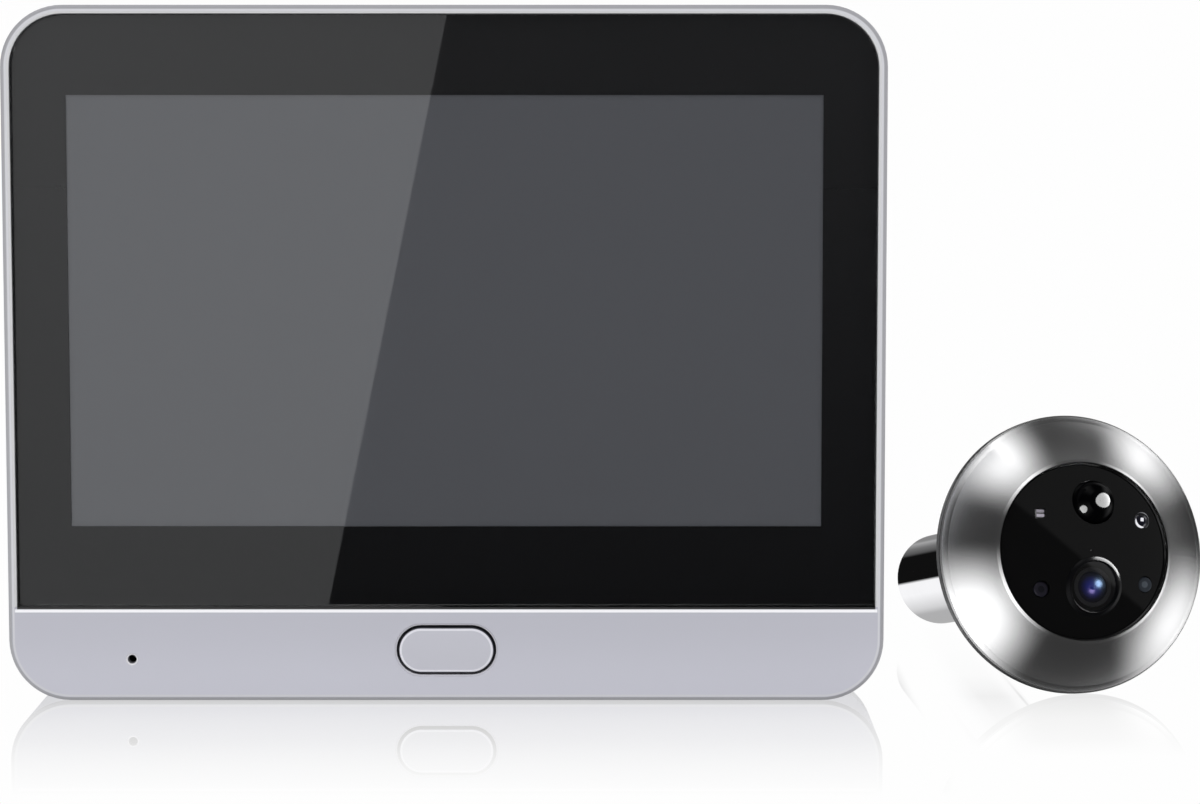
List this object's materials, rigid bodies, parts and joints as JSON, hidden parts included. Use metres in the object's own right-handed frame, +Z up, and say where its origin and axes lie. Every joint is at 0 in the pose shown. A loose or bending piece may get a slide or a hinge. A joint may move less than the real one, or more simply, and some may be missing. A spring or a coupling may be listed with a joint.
{
  "type": "peephole door camera",
  "caption": "Door viewer: an indoor display unit with a home button on its chin, its door bracket, and a round steel camera head on a threaded barrel.",
  "frame": {"origin": "middle of the display unit's flat base", "axes": "+X to the right as the screen is seen, -Y out of the screen, +Z up"},
  "size_m": [0.1531, 0.0585, 0.088],
  "materials": {
    "silver_frame": "satin silver, fine bead blast",
    "silver_button": "satin silver",
    "silver_shell": "fine moulded grain, silver grey",
    "silver_cover": "fine moulded grain, silver grey",
    "front_glass": "polished",
    "black_border": "printed black",
    "display": "dark grey, off",
    "steel_tray": "pressed steel",
    "amber_film": "smooth film",
    "socket_plastic": "moulded",
    "green_board": "solder mask",
    "screw_steel": "zinc plated",
    "chip_black": "moulded",
    "component_grey": "moulded",
    "tin_can": "tinned",
    "knob_black": "moulded",
    "plunger_black": "moulded",
    "spring_steel": "polished",
    "black_rubber": "matt",
    "cone_paper": "matt",
    "magnet_steel": "plated",
    "battery_wrap": "film wrapped",
    "gold_contacts": "gold plated",
    "bracket_steel": "zinc plated sheet",
    "turned_steel": "turned and finely brushed",
    "barrel_chrome": "mirror plated",
    "window_black": "polished black",
    "sensor_dome": "polished black",
    "lens_black": "black anodised look",
    "lens_glass": "blue coated",
    "filter_glass": "coated",
    "lamp_dark": "tinted epoxy",
    "lamp_clear": "clear epoxy"
  },
  "bodies": {
    "monitor": {"front_frame": "silver_frame", "rear_cover": "silver_shell", "glass_panel": "front_glass", "display_mask": "black_border", "lcd_cell": "display", "lcd_backlight_tray": "steel_tray", "lcd_lead": "amber_film", "lcd_lead_socket": "socket_plastic", "support_plate": "steel_tray", "main_board": "green_board", "board_screws": "screw_steel", "processor_chip": "chip_black", "memory_chip": "chip_black", "shield_can": "tin_can", "board_components": "component_grey", "camera_ribbon_socket": "socket_plastic", "usb_socket": "tin_can", "card_socket": "tin_can", "power_switch_body": "tin_can", "tact_switch_body": "chip_black", "tact_snap_disc": "spring_steel", "microphone": "tin_can", "microphone_boot": "black_rubber", "speaker_frame": "knob_black", "speaker_cone": "cone_paper", "speaker_magnet": "magnet_steel", "battery": "battery_wrap", "battery_contacts": "gold_contacts", "battery_cover_pins": "screw_steel", "case_screws": "screw_steel"},
    "home_button": {"home_button_cap": "silver_button"},
    "switch_plunger": {"tact_plunger": "plunger_black"},
    "power_knob": {"power_switch_knob": "knob_black"},
    "battery_door": {"battery_cover": "silver_cover"},
    "bracket": {"door_bracket": "bracket_steel"},
    "camera_head": {"camera_flange": "turned_steel", "camera_bezel": "turned_steel", "camera_barrel": "barrel_chrome", "door_gasket": "black_rubber", "bezel_screws": "screw_steel", "front_window": "window_black", "pir_lens": "sensor_dome", "pir_sensor": "tin_can", "lens_ring": "lens_black", "lens_barrel": "lens_black", "lens_glass": "lens_glass", "lens_holder": "lens_black", "image_sensor": "chip_black", "infrared_filter": "filter_glass", "infrared_leds": "lamp_dark", "white_led": "lamp_clear", "light_sensor": "lamp_clear", "camera_board": "green_board", "camera_board_screws": "screw_steel", "camera_board_socket": "socket_plastic"}
  },
  "joints": [
    {"name": "home_button_press", "type": "slide", "parent": "monitor", "child": "home_button", "axis": [0, 1, 0], "range_m": [0, 0.00035], "stiffness_N_per_m": 600, "springref_m": -0.001},
    {"name": "switch_plunger_press", "type": "slide", "parent": "monitor", "child": "switch_plunger", "axis": [0, 1, 0], "range_m": [0, 0.00035]},
    {"name": "power_knob_slide", "type": "slide", "parent": "monitor", "child": "power_knob", "axis": [0, 0, 1], "range_m": [0, 0.002]},
    {"name": "battery_cover_hinge", "type": "hinge", "parent": "monitor", "child": "battery_door", "pos_m": [0, 0.0073, 0.041], "axis": [1, 0, 0], "range_deg": [0, 80]},
    {"name": "bracket_slide", "type": "slide", "parent": "monitor", "child": "bracket", "axis": [0, 0, -1], "range_m": [0, 0.005]},
    {"name": "camera_head_lift", "type": "slide", "parent": "monitor", "child": "camera_head", "axis": [0, 0, 1], "range_m": [0, 0.12]}
  ],
  "couplings": [
    {"joint": "switch_plunger_press", "follows": "home_button_press", "ratio": 1}
  ]
}
